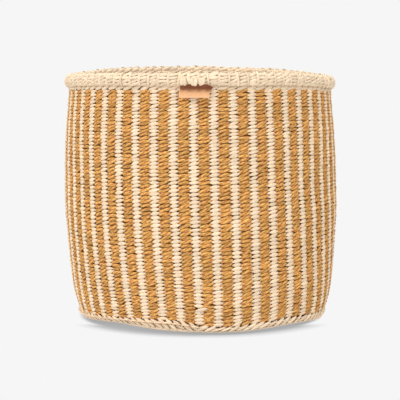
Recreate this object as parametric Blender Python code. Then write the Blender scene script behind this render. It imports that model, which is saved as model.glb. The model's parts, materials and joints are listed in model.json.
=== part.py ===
"""Kiondo storage basket, twined from sisal, with vertical stripes and a small leather tab.

Metres, +Z up. The origin is on the floor under the middle of the basket. The tab is at the
front, on the -Y side, over a natural stripe that stands a little left of the middle.

Twining leaves each colour of weft outside on every second column and inside on the columns
between, so each colour has an outside comb and an inside comb of columns, held by one round
of weft: the first round at the foot for the natural weft, the last round under the rim for
the dyed weft. The upright warps stand between the two layers.
"""

import math

import bmesh
import bpy
from mathutils import Matrix, Vector

# Stripes: a pair is one natural column of stitches and one dyed column
STRIPE_PAIRS = 44
COLUMNS = 2 * STRIPE_PAIRS
COLUMN_TURN = math.tau / COLUMNS
TAB_TURN = math.radians(-2.4)

# Outline of the woven wall, on its outer side
BASKET_HEIGHT = 0.2386
FOOT_RADIUS = 0.1208
BELLY_RADIUS = 0.1316
BELLY_HEIGHT = 0.118
NECK_RADIUS = 0.1263
WALL_CURVE_POWER = 2.2
LOWER_CORNER_SHARES = (0, 0.26, 1)
UPPER_CORNER_SHARES = (0.49, 1)

# Cords of the weave: wefts cross in front of and behind each upright warp
WEFT_THICKNESS = 0.00165
WARP_DIAMETER = 0.0016
CLEARANCE = 0.0003
COLUMN_CROWN_SHARE = 0.72
ROUND_HEIGHT = 0.0015

# Base, which hangs a little clear of the floor inside the foot ring
BASE_RAISE = 0.002
START_RADIUS = 0.013
SPOKE_WIDTH_SHARE = 0.85

# Foot ring, the rope-like edge that the basket stands on
FOOT_HEIGHT = 0.0077
FOOT_ROUND = 0.0058
FOOT_ROUND_STEPS = 3
FOOT_CONTACT_WIDTH = 0.008
FOOT_CHAMFER = 0.0027

# Rim: the bundled warp ends under a twined band, with a braid on top
RIM_HEIGHT = 0.0141
RIM_OVERHANG_OUTSIDE = 0.0036
RIM_OVERHANG_INSIDE = 0.0022
RIM_LIP = 0.0005
RIM_ROUND_HEIGHT = 0.006
RIM_SKIN = 0.0016
RIM_CHAMFER = 0.002
BUNDLE_FLARE = 0.0018
BRAID_HEIGHT = 0.004
BRAID_WIDTH = 0.0078
BRAID_SIDES = 6

# Leather tab: one strip folded double, with its two ends caught under the strands of the rim
TAB_WIDTH = 0.0272
TAB_DROP = 0.0091
TAB_CAUGHT = 0.0022
TAB_RISE = 0.0026
LEATHER_THICKNESS = 0.0007
LEAF_GAP = 0.0003
TAB_REST_GAP = 0.0008
BINDING_THICKNESS = 0.0004
BINDING_WIDTH = 0.0026
BINDING_HEIGHT = 0.0042
BINDING_PLACE_SHARES = {"left": -0.34, "middle": 0.02, "right": 0.33}

# Heights that follow from the sizes above
WALL_BOTTOM = FOOT_HEIGHT + CLEARANCE
RIM_BOTTOM = BASKET_HEIGHT - RIM_HEIGHT
SPOKE_HEIGHT = BASE_RAISE + WEFT_THICKNESS + CLEARANCE + WARP_DIAMETER / 2
UNDER_TOP = BASE_RAISE + WEFT_THICKNESS
INSIDE_BOTTOM = SPOKE_HEIGHT + WARP_DIAMETER / 2 + CLEARANCE
BASE_TOP = INSIDE_BOTTOM + WEFT_THICKNESS
FIRST_ROUND_TOP = max(WALL_BOTTOM, BASE_TOP + CLEARANCE) + ROUND_HEIGHT
LAST_ROUND_BOTTOM = RIM_BOTTOM + CLEARANCE
LAST_ROUND_TOP = LAST_ROUND_BOTTOM + ROUND_HEIGHT
BAND_TOP = BASKET_HEIGHT - BRAID_HEIGHT - CLEARANCE
CAVITY_TOP = BAND_TOP - RIM_SKIN

# Flat-sided rings stand out at their corners, so what they wrap keeps this much more clearance
RING_CORNER = 1 / math.cos(math.pi / STRIPE_PAIRS)
LAYER_GAP = CLEARANCE + BELLY_RADIUS * (RING_CORNER - 1)

# Depths of the layers under the wall's outer side
WARP_OUTER_DEPTH = WEFT_THICKNESS + CLEARANCE
WARP_INNER_DEPTH = WARP_OUTER_DEPTH + WARP_DIAMETER
INNER_SEAT_DEPTH = WARP_INNER_DEPTH + LAYER_GAP
WALL_THICKNESS = INNER_SEAT_DEPTH + WEFT_THICKNESS

# Distances from the basket's axis that follow from the sizes above
CAVITY_OUTER = NECK_RADIUS + LAYER_GAP
CAVITY_INNER = NECK_RADIUS - WALL_THICKNESS - LAYER_GAP
BAND_OUTER = NECK_RADIUS + RIM_OVERHANG_OUTSIDE
BAND_INNER = NECK_RADIUS - WALL_THICKNESS - RIM_OVERHANG_INSIDE
LIP_OUTER = CAVITY_OUTER + RIM_LIP
CONTACT_OUTER = FOOT_RADIUS - FOOT_ROUND
CONTACT_INNER = CONTACT_OUTER - FOOT_CONTACT_WIDTH
FOOT_INNER = CONTACT_INNER - FOOT_CHAMFER
FOOT_SEAT = FOOT_RADIUS - WEFT_THICKNESS

# Tab places, in the frame that is turned to face the tab
TAB_THICKNESS = 2 * LEATHER_THICKNESS + LEAF_GAP
TAB_TOP = RIM_BOTTOM + TAB_RISE
TAB_BACK = LIP_OUTER + (BAND_OUTER - LIP_OUTER) * min(1, TAB_RISE / RIM_ROUND_HEIGHT) + CLEARANCE
TAB_FRONT = TAB_BACK + TAB_THICKNESS
CAUGHT_BOTTOM = TAB_TOP - TAB_CAUGHT
TAB_HINGE_HEIGHT = CAUGHT_BOTTOM - 2 * CLEARANCE

# Colours
NATURAL = (0.80, 0.62, 0.42)
NATURAL_WARP = (0.72, 0.55, 0.36)
DYED = (0.46, 0.21, 0.05)
LEATHER = (0.62, 0.30, 0.14)
SISAL_ROUGHNESS = 0.85
LEATHER_ROUGHNESS = 0.55
SHARP_ANGLE = math.radians(40)


def clear_scene():
    """Removes the objects that the scene starts with."""
    for item in list(bpy.data.objects):
        bpy.data.objects.remove(item, do_unlink=True)


def finish_material(name, colour, roughness):
    """One Principled material for one sub-part."""
    material = bpy.data.materials.new(name)
    material.use_nodes = True
    shader = material.node_tree.nodes["Principled BSDF"]
    shader.inputs["Base Color"].default_value = (*colour, 1)
    shader.inputs["Roughness"].default_value = roughness
    shader.inputs["Metallic"].default_value = 0
    material.diffuse_color = (*colour, 1)
    return material


def finish_object(name, bm, colour, roughness, parent):
    """Turns the mesh into a named object under the basket's frame."""
    bmesh.ops.recalc_face_normals(bm, faces=bm.faces)
    mesh = bpy.data.meshes.new(name)
    bm.to_mesh(mesh)
    bm.free()
    mesh.shade_smooth()
    mesh.set_sharp_from_angle(angle=SHARP_ANGLE)
    mesh.materials.append(finish_material(name, colour, roughness))
    item = bpy.data.objects.new(name, mesh)
    item.parent = parent
    bpy.context.scene.collection.objects.link(item)
    return item


def curve_radius(height):
    """The wall's outline: narrow at the foot, widest at the belly, drawn in at the neck."""
    if height < BELLY_HEIGHT:
        share = (BELLY_HEIGHT - height) / (BELLY_HEIGHT - WALL_BOTTOM)
        end_radius = FOOT_RADIUS
    else:
        share = (height - BELLY_HEIGHT) / (RIM_BOTTOM - BELLY_HEIGHT)
        end_radius = NECK_RADIUS
    return BELLY_RADIUS - (BELLY_RADIUS - end_radius) * share**WALL_CURVE_POWER


WALL_HEIGHTS = [
    *(WALL_BOTTOM + (BELLY_HEIGHT - WALL_BOTTOM) * share for share in LOWER_CORNER_SHARES),
    *(BELLY_HEIGHT + (RIM_BOTTOM - BELLY_HEIGHT) * share for share in UPPER_CORNER_SHARES),
]
WALL_RADII = [curve_radius(height) for height in WALL_HEIGHTS]


def wall_radius(height):
    """The outline taken straight between its corners, and straight on past its two ends."""
    place = 1
    while place < len(WALL_HEIGHTS) - 1 and height > WALL_HEIGHTS[place]:
        place += 1
    low, high = WALL_HEIGHTS[place - 1], WALL_HEIGHTS[place]
    share = (height - low) / (high - low)
    return WALL_RADII[place - 1] + (WALL_RADII[place] - WALL_RADII[place - 1]) * share


def column_heights(bottom, top):
    """Heights of a column's sections: its two ends and the outline's corners between them."""
    return [bottom, *WALL_HEIGHTS[1:-1], top]


def weft_section(height, seat_depth, crown_depth):
    """Section of a column of stitches: wide at the seat on the warp, narrower at the crown."""
    seat = wall_radius(height) - seat_depth
    crown = wall_radius(height) - crown_depth
    seat_half = min(seat, crown) * math.tan(COLUMN_TURN / 2) - CLEARANCE / 2
    crown_half = seat_half * COLUMN_CROWN_SHARE
    return [
        (-seat_half, -seat, height),
        (seat_half, -seat, height),
        (crown_half, -crown, height),
        (-crown_half, -crown, height),
    ]


def warp_section(height):
    """Section of one upright warp."""
    half = WARP_DIAMETER / 2
    inner = wall_radius(height) - WARP_INNER_DEPTH
    outer = wall_radius(height) - WARP_OUTER_DEPTH
    return [
        (-half, -inner, height),
        (half, -inner, height),
        (half, -outer, height),
        (-half, -outer, height),
    ]


def loft(bm, loops):
    """Joins loops of vertices into a skin, and closes its far end."""
    for lower, upper in zip(loops, loops[1:]):
        for index in range(len(lower)):
            bm.faces.new((lower[index - 1], lower[index], upper[index], upper[index - 1]))
    bm.faces.new(loops[-1])


def repeat_round(bm, copies):
    """Copies all that the mesh holds round the axis, at equal turns, and joins what meets."""
    bmesh.ops.spin(
        bm,
        geom=bm.verts[:] + bm.edges[:] + bm.faces[:],
        axis=(0, 0, 1),
        cent=(0, 0, 0),
        angle=math.tau * (copies - 1) / copies,
        steps=copies - 1,
        use_duplicate=True,
    )
    bmesh.ops.remove_doubles(bm, verts=bm.verts, dist=CLEARANCE / 10)


def ring_ends(bm, profile, copies):
    """The two ends of one flat side of a ring. The profile lists (distance of the side, height)."""
    left, right = [], []
    for distance, height in profile:
        half = distance * math.tan(math.pi / copies)
        left.append(bm.verts.new((-half, -distance, height)))
        right.append(bm.verts.new((half, -distance, height)))
    return left, right


def flat_sided_ring(profile):
    """A ring round the axis, with one flat side for each stripe pair."""
    bm = bmesh.new()
    left, right = ring_ends(bm, profile, STRIPE_PAIRS)
    for index in range(len(profile)):
        bm.faces.new((left[index - 1], right[index - 1], right[index], left[index]))
    repeat_round(bm, STRIPE_PAIRS)
    return bm


def comb(profile, sections, copies, place):
    """A ring with one column on each flat side, as one body.

    The columns stand on the profile's first edge, which is as deep as their first section.
    """
    bm = bmesh.new()
    left, right = ring_ends(bm, profile, copies)
    loops = [[bm.verts.new(point) for point in section] for section in sections]
    seat_left, seat_right, crown_right, crown_left = loops[0]
    bm.faces.new((left[0], seat_left, crown_left, left[1]))
    bm.faces.new((seat_right, right[0], right[1], crown_right))
    bm.faces.new((left[-1], right[-1], right[0], seat_right, seat_left, left[0]))
    bm.faces.new((left[1], crown_left, crown_right, right[1], right[2], left[2]))
    for index in range(3, len(profile)):
        bm.faces.new((left[index - 1], right[index - 1], right[index], left[index]))
    loft(bm, loops)
    repeat_round(bm, copies)
    turn = Matrix.Rotation(COLUMN_TURN * place, 3, "Z")
    bmesh.ops.rotate(bm, cent=(0, 0, 0), matrix=turn, verts=bm.verts)
    return bm


def weft_comb(name, colour, depths, ring_heights, free_end, place, frame):
    """One face of one weft: a round of weft, and a column of stitches on each of its sides.

    `depths` are those of the seat and the crown. The columns run from the first of the two
    ring heights to the free end.
    """
    seat_depth, crown_depth = depths
    near, far = ring_heights
    profile = [
        (wall_radius(near) - seat_depth, near),
        (wall_radius(near) - crown_depth, near),
        (wall_radius(far) - crown_depth, far),
        (wall_radius(far) - seat_depth, far),
    ]
    heights = column_heights(min(near, free_end), max(near, free_end))
    if free_end < near:
        heights.reverse()
    sections = [weft_section(height, seat_depth, crown_depth) for height in heights]
    bm = comb(profile, sections, STRIPE_PAIRS, place)
    finish_object(name, bm, colour, SISAL_ROUGHNESS, frame)


def wefts(frame):
    """The two colours of weft, outside and inside the warps."""
    outside = (WEFT_THICKNESS, 0)
    inside = (INNER_SEAT_DEPTH, WALL_THICKNESS)
    foot_outside = (FIRST_ROUND_TOP, WALL_BOTTOM)
    foot_inside = (FIRST_ROUND_TOP, BASE_TOP + CLEARANCE)
    neck = (LAST_ROUND_BOTTOM, LAST_ROUND_TOP)
    top = LAST_ROUND_BOTTOM - CLEARANCE
    bottom = FIRST_ROUND_TOP + CLEARANCE
    weft_comb("natural_weft_outside", NATURAL, outside, foot_outside, top, 0, frame)
    weft_comb("natural_weft_inside", NATURAL, inside, foot_inside, top, 1, frame)
    weft_comb("dyed_weft_outside", DYED, outside, neck, bottom, 1, frame)
    weft_comb("dyed_weft_inside", DYED, inside, neck, bottom, 0, frame)


def warp_cords(frame):
    """The upright warps, which stand on the spokes' ends and run into the bundle in the rim."""
    start = LAST_ROUND_TOP + CLEARANCE
    top = CAVITY_TOP - CLEARANCE
    bundle_inner = CAVITY_INNER + LAYER_GAP
    bundle_outer = CAVITY_OUTER - LAYER_GAP
    profile = [
        (wall_radius(start) - WARP_INNER_DEPTH, start),
        (wall_radius(start) - WARP_OUTER_DEPTH, start),
        (bundle_outer, start + BUNDLE_FLARE),
        (bundle_outer, top),
        (bundle_inner, top),
        (bundle_inner, start + BUNDLE_FLARE),
    ]
    heights = column_heights(INSIDE_BOTTOM, start)
    sections = [warp_section(height) for height in reversed(heights)]
    bm = comb(profile, sections, COLUMNS, 0)
    finish_object("warp_cords", bm, NATURAL_WARP, SISAL_ROUGHNESS, frame)


def base_spokes(frame):
    """The crossed cords at the start of the basket, and the spokes that fan out from them."""
    bm = bmesh.new()
    hub = START_RADIUS - CLEARANCE
    reach = wall_radius(INSIDE_BOTTOM) - WARP_OUTER_DEPTH
    flat_half = hub * math.tan(math.pi / STRIPE_PAIRS)
    spoke_half = flat_half * SPOKE_WIDTH_SHARE
    low, high = SPOKE_HEIGHT - WARP_DIAMETER / 2, SPOKE_HEIGHT + WARP_DIAMETER / 2

    def loop(half, distance, bottom, top):
        points = ((-half, bottom), (half, bottom), (half, top), (-half, top))
        return [bm.verts.new((across, -distance, height)) for across, height in points]

    flat = loop(flat_half, hub, BASE_RAISE, BASE_TOP)
    root = loop(spoke_half, hub, low, high)
    tip = loop(spoke_half, reach, low, high)
    loft(bm, [flat, root, tip])
    for edge, height in ((flat[:2], BASE_RAISE), (flat[2:], BASE_TOP)):
        bm.faces.new((*edge, bm.verts.new((0, 0, height))))
    repeat_round(bm, STRIPE_PAIRS)
    finish_object("base_spokes", bm, NATURAL_WARP, SISAL_ROUGHNESS, frame)


def base_weaves(frame):
    """The twined base in its two faces, one under the spokes and one inside the basket."""
    under_edge = FOOT_INNER - CLEARANCE
    under = [
        (START_RADIUS, BASE_RAISE),
        (under_edge, BASE_RAISE),
        (under_edge, UNDER_TOP),
        (START_RADIUS, UNDER_TOP),
    ]
    finish_object("base_weave_under", flat_sided_ring(under), NATURAL, SISAL_ROUGHNESS, frame)
    inside_edge = wall_radius(INSIDE_BOTTOM) - INNER_SEAT_DEPTH
    inside = [
        (START_RADIUS, INSIDE_BOTTOM),
        (inside_edge, INSIDE_BOTTOM),
        (inside_edge, BASE_TOP),
        (START_RADIUS, BASE_TOP),
    ]
    finish_object("base_weave_inside", flat_sided_ring(inside), NATURAL, SISAL_ROUGHNESS, frame)


def foot_ring(frame):
    """The thick twined edge round the base: flat where it meets the floor, rounded outside."""
    outer_side = []
    for step in range(FOOT_ROUND_STEPS + 1):
        turn = math.pi / 2 * step / FOOT_ROUND_STEPS
        distance = CONTACT_OUTER + FOOT_ROUND * math.cos(turn)
        outer_side.append((distance, FOOT_HEIGHT * (1 - math.sin(turn))))
    profile = [
        (FOOT_SEAT, FOOT_HEIGHT),
        *outer_side,
        (CONTACT_INNER, 0),
        (FOOT_INNER, BASE_RAISE),
        (FOOT_INNER, UNDER_TOP),
        (FOOT_SEAT, UNDER_TOP),
    ]
    finish_object("foot_ring", flat_sided_ring(profile), NATURAL, SISAL_ROUGHNESS, frame)


def rim_band(frame):
    """The twined skin of the rim, closed over the bundle and open below, where the wall enters."""
    shoulder = BAND_TOP - RIM_CHAMFER
    profile = [
        (BAND_INNER, RIM_BOTTOM),
        (BAND_INNER, shoulder),
        (BAND_INNER + RIM_CHAMFER, BAND_TOP),
        (BAND_OUTER - RIM_CHAMFER, BAND_TOP),
        (BAND_OUTER, shoulder),
        (BAND_OUTER, RIM_BOTTOM + RIM_ROUND_HEIGHT),
        (LIP_OUTER, RIM_BOTTOM),
        (CAVITY_OUTER, RIM_BOTTOM),
        (CAVITY_OUTER, CAVITY_TOP),
        (CAVITY_INNER, CAVITY_TOP),
        (CAVITY_INNER, RIM_BOTTOM),
    ]
    finish_object("rim_band", flat_sided_ring(profile), NATURAL, SISAL_ROUGHNESS, frame)


def rim_braid(frame):
    """The braid that closes the rim on top."""
    middle = (BAND_OUTER + BAND_INNER) / 2
    level = BASKET_HEIGHT - BRAID_HEIGHT / 2
    profile = []
    for side in range(BRAID_SIDES):
        turn = math.tau * side / BRAID_SIDES
        across = BRAID_WIDTH / 2 * math.cos(turn)
        up = BRAID_HEIGHT / 2 * math.sin(turn) / math.sin(math.tau / BRAID_SIDES)
        profile.append((middle + across, level + up))
    finish_object("rim_braid", flat_sided_ring(profile), NATURAL, SISAL_ROUGHNESS, frame)


def box_solid(low, high):
    """A box between two corners."""
    bm = bmesh.new()
    size = Vector(high) - Vector(low)
    middle = (Vector(high) + Vector(low)) / 2
    place = Matrix.Translation(middle) @ Matrix.Diagonal((*size, 1))
    bmesh.ops.create_cube(bm, size=1, matrix=place)
    return bm


def tab_seam(frame):
    """The top of the leather tab, which the strands of the rim hold fast."""
    half = TAB_WIDTH / 2
    bm = box_solid((-half, -TAB_FRONT, CAUGHT_BOTTOM), (half, -TAB_BACK, TAB_TOP))
    finish_object("tab_seam", bm, LEATHER, LEATHER_ROUGHNESS, frame)


def tab_flap(frame):
    """The loose part of the tab, folded double, which leans on the wall below the rim.

    Its origin is on the line where it bends.
    """
    bm = bmesh.new()
    leaf = LEATHER_THICKNESS
    outline = [
        (0, 0),
        (0, leaf - TAB_DROP),
        (leaf, -TAB_DROP),
        (TAB_THICKNESS - leaf, -TAB_DROP),
        (TAB_THICKNESS, leaf - TAB_DROP),
        (TAB_THICKNESS, 0),
        (TAB_THICKNESS - leaf, 0),
        (TAB_THICKNESS - leaf, leaf - TAB_DROP),
        (leaf, leaf - TAB_DROP),
        (leaf, 0),
    ]
    sides = []
    for across in (-TAB_WIDTH / 2, TAB_WIDTH / 2):
        sides.append([bm.verts.new((across, inward, height)) for inward, height in outline])
    loft(bm, sides)
    bm.faces.new(sides[0])
    flap = finish_object("tab_flap", bm, LEATHER, LEATHER_ROUGHNESS, frame)
    flap.location = (0, -TAB_FRONT, TAB_HINGE_HEIGHT)
    rest = wall_radius(TAB_HINGE_HEIGHT - TAB_DROP) + TAB_REST_GAP
    flap.rotation_euler.x = math.atan2(TAB_BACK - rest, TAB_DROP)


def tab_bindings(frame):
    """The strands of the rim that cross over the top of the tab."""
    near = -TAB_FRONT - CLEARANCE
    for side, place_share in BINDING_PLACE_SHARES.items():
        middle = TAB_WIDTH * place_share
        low = (middle - BINDING_WIDTH / 2, near - BINDING_THICKNESS, CAUGHT_BOTTOM)
        high = (middle + BINDING_WIDTH / 2, near, CAUGHT_BOTTOM + BINDING_HEIGHT)
        bm = box_solid(low, high)
        finish_object(f"tab_binding_{side}", bm, NATURAL, SISAL_ROUGHNESS, frame)


def main():
    clear_scene()
    frame = bpy.data.objects.new("tab_side", None)
    frame.rotation_euler.z = TAB_TURN
    bpy.context.scene.collection.objects.link(frame)
    base_spokes(frame)
    base_weaves(frame)
    foot_ring(frame)
    warp_cords(frame)
    wefts(frame)
    rim_band(frame)
    rim_braid(frame)
    tab_seam(frame)
    tab_flap(frame)
    tab_bindings(frame)


main()
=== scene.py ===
"""Looks of the kiondo basket: twined sisal wall, base, foot and rim, and a folded leather tab.

The script is laid out as an add-on and run as a plain script. Each operator makes one piece or
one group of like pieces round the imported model, and main() calls them in order.
"""

import json
import math

import bpy
import numpy as np
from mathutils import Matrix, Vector


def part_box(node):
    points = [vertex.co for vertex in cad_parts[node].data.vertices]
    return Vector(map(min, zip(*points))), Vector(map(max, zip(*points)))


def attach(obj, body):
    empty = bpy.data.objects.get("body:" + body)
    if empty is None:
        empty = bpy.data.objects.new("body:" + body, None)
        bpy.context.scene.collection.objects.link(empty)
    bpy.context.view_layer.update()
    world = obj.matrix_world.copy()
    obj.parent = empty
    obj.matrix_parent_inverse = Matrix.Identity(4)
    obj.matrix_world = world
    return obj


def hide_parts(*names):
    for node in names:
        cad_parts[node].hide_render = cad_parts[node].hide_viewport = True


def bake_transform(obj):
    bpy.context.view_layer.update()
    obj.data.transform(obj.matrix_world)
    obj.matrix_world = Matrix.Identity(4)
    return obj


bl_info = {
    "name": "Kiondo basket",
    "version": (1, 0, 0),
    "blender": (4, 5, 0),
    "location": "3D View > Sidebar > Kiondo",
    "description": "Twined sisal basket with stripes, a bound rim and a small leather tab",
    "category": "Object",
}

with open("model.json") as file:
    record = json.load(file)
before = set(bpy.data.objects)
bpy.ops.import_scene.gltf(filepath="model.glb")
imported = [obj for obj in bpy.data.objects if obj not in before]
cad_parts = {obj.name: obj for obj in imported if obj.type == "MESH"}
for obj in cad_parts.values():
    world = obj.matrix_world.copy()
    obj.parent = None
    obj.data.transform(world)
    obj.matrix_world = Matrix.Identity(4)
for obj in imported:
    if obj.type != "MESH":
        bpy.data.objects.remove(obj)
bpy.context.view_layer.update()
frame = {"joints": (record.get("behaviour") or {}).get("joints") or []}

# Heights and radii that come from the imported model
WALL_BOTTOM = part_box("natural_weft_outside")[0].z
WALL_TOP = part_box("natural_weft_outside")[1].z
BASKET_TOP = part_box("rim_braid")[1].z
RIM_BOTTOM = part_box("rim_band")[0].z
RIM_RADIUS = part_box("rim_band")[1].x
FOOT_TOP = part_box("foot_ring")[1].z
FOOT_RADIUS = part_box("foot_ring")[1].x
BASE_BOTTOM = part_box("base_spokes")[0].z
BASE_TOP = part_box("base_spokes")[1].z
SPOKE_HEIGHT = (BASE_BOTTOM + BASE_TOP) / 2
TAB_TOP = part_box("tab_seam")[1].z
TAB_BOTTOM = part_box("tab_flap")[0].z
HINGE = next(joint for joint in frame["joints"] if joint["name"] == "tab_lift")
HINGE_PLACE = Vector(HINGE["pos_m"])
HINGE_DISTANCE = math.hypot(HINGE_PLACE.x, HINGE_PLACE.y)

# Stripes, and how far the tab stands round from the middle of the front
STRIPE_PAIRS = 44
COLUMNS = 2 * STRIPE_PAIRS
COLUMN_TURN = math.tau / COLUMNS
TAB_TURN = math.radians(-2.4)
MM = 0.001

# Rim: the middle of its band, its lower edge that is cut back, and its rounded top
RIM_MIDDLE = 124.1 * MM
LIP_HEIGHT = 6 * MM
LIP_STEP = 1 * MM
CROWN_HEIGHT = 6 * MM
CROWN_FALL = 3.4 * MM
LINING_CROWN_HEIGHT = 5 * MM
LINING_CROWN_FALL = 1.6 * MM

# Foot: how far it rounds in underneath, how far it stands to the right, and how far up it is
# tucked in at both sides
FOOT_ROUNDING = 2.2 * MM
FOOT_SHIFT = 1.3 * MM
TUCK_FADE = 32 * MM
# Where the foot's lift starts in the base, how soon it is whole, and how far up it fades out
LIFT_START = 70 * MM
LIFT_GROWTH = 45 * MM
LIFT_FADE = 62 * MM
# What is left of a depth below the floor when the strands are pressed flat on it
PRESSED_SHARE = 0.05


def quantity(name, description, default, **limits):
    """A setting that is one number."""
    return bpy.props.FloatProperty(name=name, description=description, default=default, **limits)


def length(name, description, default):
    """A length that the panel shows in scene units."""
    return quantity(name, description, default, precision=5, subtype="DISTANCE", unit="LENGTH")


def angle(name, description, degrees):
    """An angle that the panel shows in degrees."""
    return quantity(name, description, math.radians(degrees), subtype="ANGLE", unit="ROTATION")


def share(name, description, default):
    """A share from 0 to 1."""
    return quantity(name, description, default, min=0, max=1, subtype="FACTOR")


def colour(name, description, default):
    """A colour that the panel shows as a swatch."""
    look = {"name": name, "description": description, "default": default, "subtype": "COLOR"}
    return bpy.props.FloatVectorProperty(size=3, min=0, max=1, **look)


class KiondoWall(bpy.types.PropertyGroup):
    """Sizes of the woven wall."""

    rows: bpy.props.IntProperty(
        name="Rows", description="Rounds of weft up the wall", default=63, min=4
    )
    belly_radius: length("Belly", "Radius of the wall where it is widest", 0.1312)
    thickness: length("Thickness", "From the outer to the inner face of the wall", 0.0058)
    natural_slant: angle("Natural slant", "Slope of the natural stitches", 9)
    dyed_slant: angle("Dyed slant", "Slope of the dyed stitches", 11.5)
    unevenness: length("Unevenness", "How far the wall strays from its outline", 0.0004)
    left_droop: length("Left droop", "How far the rim hangs down on the left", 0.0052)
    right_droop: length("Right droop", "How far the rim hangs down on the right", 0.0066)
    side_tuck: length("Side tuck", "How far the foot is drawn in at both sides", 0.0052)


class KiondoRim(bpy.types.PropertyGroup):
    """Sizes of the rim and of the foot."""

    bar_width: length("Bar width", "Width of the warp ends that are folded over the rim", 0.0029)
    row_pitch: length("Row pitch", "Height of one row of twining on the rim", 0.0029)
    row_slant: angle("Row slant", "Slope of the short stitches on the rim", 12)
    plait_slant: angle("Plait slant", "Slope of the plait inside the rim", 15)
    foot_slant: angle("Foot slant", "Slope of the long stitches round the foot", 36)


class KiondoTab(bpy.types.PropertyGroup):
    """Sizes of the leather tab."""

    width: length("Width", "Width of the leather strip", 0.0272)
    leather: length("Leather", "Thickness of the leather", 0.0007)
    fold_radius: length("Fold radius", "Radius of the fold at the bottom", 0.0005)
    corner: length("Corner", "How far the top right corner stands out", 0.0030)


class KiondoFinish(bpy.types.PropertyGroup):
    """Colours of the sisal, the leather and the room."""

    # Each sisal has a colour in the light and a shade colour that is painted into its creases and
    # ply grooves
    natural: colour("Natural sisal", "Undyed sisal in the light", (0.92, 0.755, 0.555))
    natural_shade: colour("Natural shade", "Undyed sisal in the creases", (0.45, 0.18, 0.02))
    rim: colour("Rim sisal", "Undyed sisal of the rim in the light", (0.86, 0.71, 0.525))
    rim_shade: colour("Rim shade", "Undyed sisal of the rim in the creases", (0.62, 0.40, 0.21))
    dyed: colour("Dyed sisal", "Golden sisal in the light", (0.85, 0.455, 0.155))
    dyed_shade: colour("Dyed shade", "Golden sisal in the creases", (0.29, 0.10, 0.004))
    # Painted shade: the uprights are coloured dark brown to stand for the shade deep in the holes
    # between the stitches
    painted_upright_shade: colour("Hidden sisal", "Uprights deep between the stitches", (0.36, 0.12, 0.005))
    leather: colour("Leather", "Face of the leather", (0.78, 0.42, 0.20))
    # Painted shadow of the rim, and stains: this colour darkens the top of the leather and its
    # stains
    leather_shade: colour("Leather shade", "Burnished top of the leather", (0.15, 0.036, 0.008))
    room: colour("Room", "Floor and wall of the room", (0.921, 0.921, 0.921))
    tone_spread: share("Tone spread", "How much one stitch differs from the next", 0.35)


def settings(context):
    """The four groups of settings."""
    scene = context.scene
    return scene.kiondo_wall, scene.kiondo_rim, scene.kiondo_tab, scene.kiondo_finish


# The basket's outline, and the ways that a hand-made one strays from it

# The wall's line: height in mm, and how far the wall is drawn in there from its belly
WALL_LINE = (
    (0, 11.0),
    (8, 10.4),
    (12, 9.4),
    (20, 7.9),
    (30, 6.6),
    (40, 5.2),
    (54, 4.0),
    (69, 2.8),
    (84, 1.7),
    (98, 0.7),
    (113, 0.1),
    (132, 0.2),
    (150, 0.5),
    (165, 1.0),
    (180, 1.8),
    (195, 2.9),
    (208, 4.1),
    (218, 4.9),
    (226, 5.1),
    (240, 5.1),
)


def smooth_line(table, reach):
    """A table of heights and values as one smooth line: fine heights, and a value at each."""
    heights, values = (np.array(column) for column in zip(*table))
    fine = np.linspace(heights[0], heights[-1], 121)
    rough = np.pad(np.interp(fine, heights, values), reach, mode="edge")
    weights = np.hanning(2 * reach + 3)[1:-1]
    return fine, np.convolve(rough, weights / weights.sum(), mode="valid")


def wall_outline(level):
    """Radius of the wall's outer face at a height."""
    drawn_in = np.interp(level / MM, *smooth_line(WALL_LINE, 3))
    return bpy.context.scene.kiondo_wall.belly_radius - MM * drawn_in


def lining_outline(level):
    """Radius of the wall's inner face at a height."""
    return wall_outline(level) - bpy.context.scene.kiondo_wall.thickness


def rim_outline(level):
    """Radius of the rim's outer face: cut back below, rounded over at the top."""
    neck = wall_outline(RIM_BOTTOM)
    lip = np.clip((RIM_BOTTOM + LIP_HEIGHT - level) / LIP_HEIGHT, 0, 1)
    crown = np.clip((level - BASKET_TOP + CROWN_HEIGHT) / CROWN_HEIGHT, 0, 1.2)
    return RIM_RADIUS - (RIM_RADIUS - neck - LIP_STEP) * lip**1.3 - CROWN_FALL * crown**2


def rim_lining_outline(level):
    """Radius of the rim's inner face."""
    crown = np.clip((level - BASKET_TOP + LINING_CROWN_HEIGHT) / LINING_CROWN_HEIGHT, 0, 1.2)
    return 2 * RIM_MIDDLE - RIM_RADIUS + LINING_CROWN_FALL * crown**2


def foot_outline(level):
    """Radius of the foot's outer face, which rounds in under the basket."""
    down = np.clip(1 - level / FOOT_TOP, 0, 1)
    return FOOT_RADIUS - FOOT_ROUNDING * (1 - np.sqrt(1 - down**2))


def even(value):
    """An outline with one radius, or a surface with one height, all over."""
    return lambda places: np.full_like(places, value)


# How far the columns lean, in degrees round the basket, at heights in mm: in front, more on one
# side than on the other, and alike at both flanks
FRONT_LEAN = ((0, 1.5), (23, 1.3), (80, 0.4), (136, -0.3), (193, -0.5), (240, -0.5))
SIDE_LEAN = ((0, 3.0), (23, 2.5), (80, -1.3), (136, -4.2), (193, -1.3), (240, -0.6))
FLANK_LEAN = ((0, 4.2), (23, 3.7), (80, 1.1), (136, -0.5), (193, -1.2), (240, -0.8))
# What is left at the back of the lean at the sides and flanks
LEAN_BEHIND_SHARE = 0.3

# Waves in the wall: how many go round, where they start, how they turn going up, and their size
WALL_WAVES = ((3, 4.1, 2.2, 1.0), (5, 0.6, -3.4, 0.7), (9, 0.0, 5.0, 0.5))

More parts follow.
